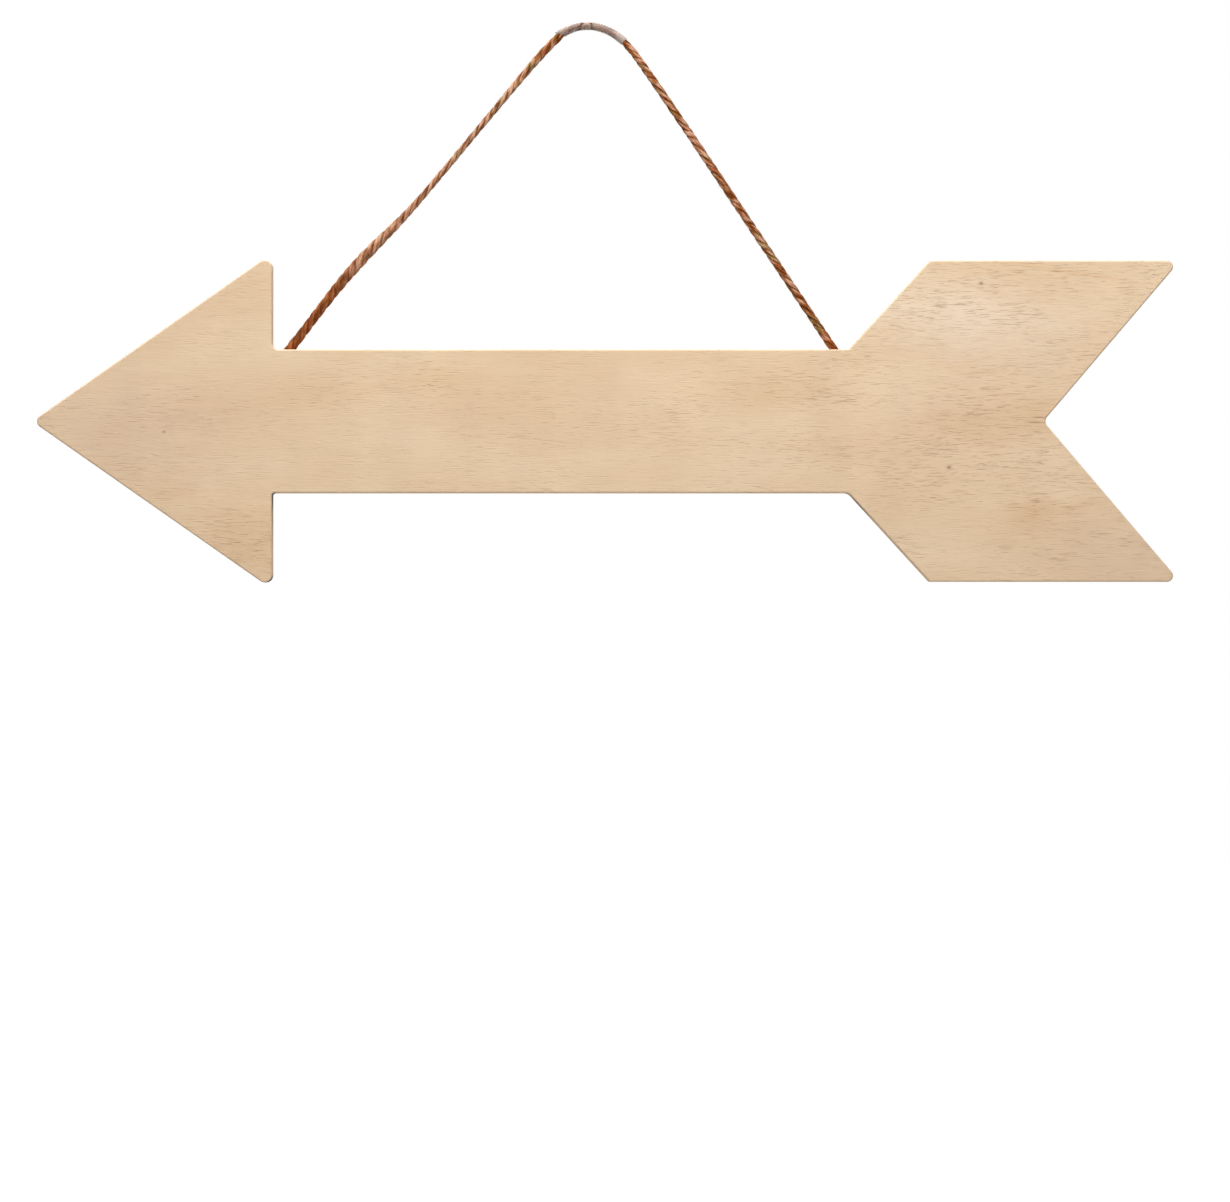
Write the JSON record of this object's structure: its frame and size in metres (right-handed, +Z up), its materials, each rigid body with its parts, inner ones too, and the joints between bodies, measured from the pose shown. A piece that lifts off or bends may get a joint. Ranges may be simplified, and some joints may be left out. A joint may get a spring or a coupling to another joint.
{
  "type": "hanging direction sign",
  "caption": "Flat wooden direction sign in the shape of an arrow, with a barbed head, a straight shaft and a notched, swept tail, that hangs from a loop of jute twine.",
  "frame": {"origin": "the point where the twine loop bears on its nail: under the tape at the top of the loop, in the middle of the twine", "axes": "+Z is up, the front face looks towards -Y, and +X is to the right of someone who looks at the front, so the arrow points to -X"},
  "size_m": [0.4004, 0.0093, 0.1986],
  "materials": {
    "plywood": "bare sanded light plywood",
    "jute": "twisted natural jute twine",
    "clear_tape": "milky adhesive tape",
    "staple_wire": "zinc-coated wire"
  },
  "bodies": {
    "root": {"board": "plywood", "twine": "jute", "tape_wrap": "clear_tape", "staple_left_upper": "staple_wire", "staple_left_lower": "staple_wire", "staple_right_upper": "staple_wire", "staple_right_lower": "staple_wire"}
  },
  "joints": []
}
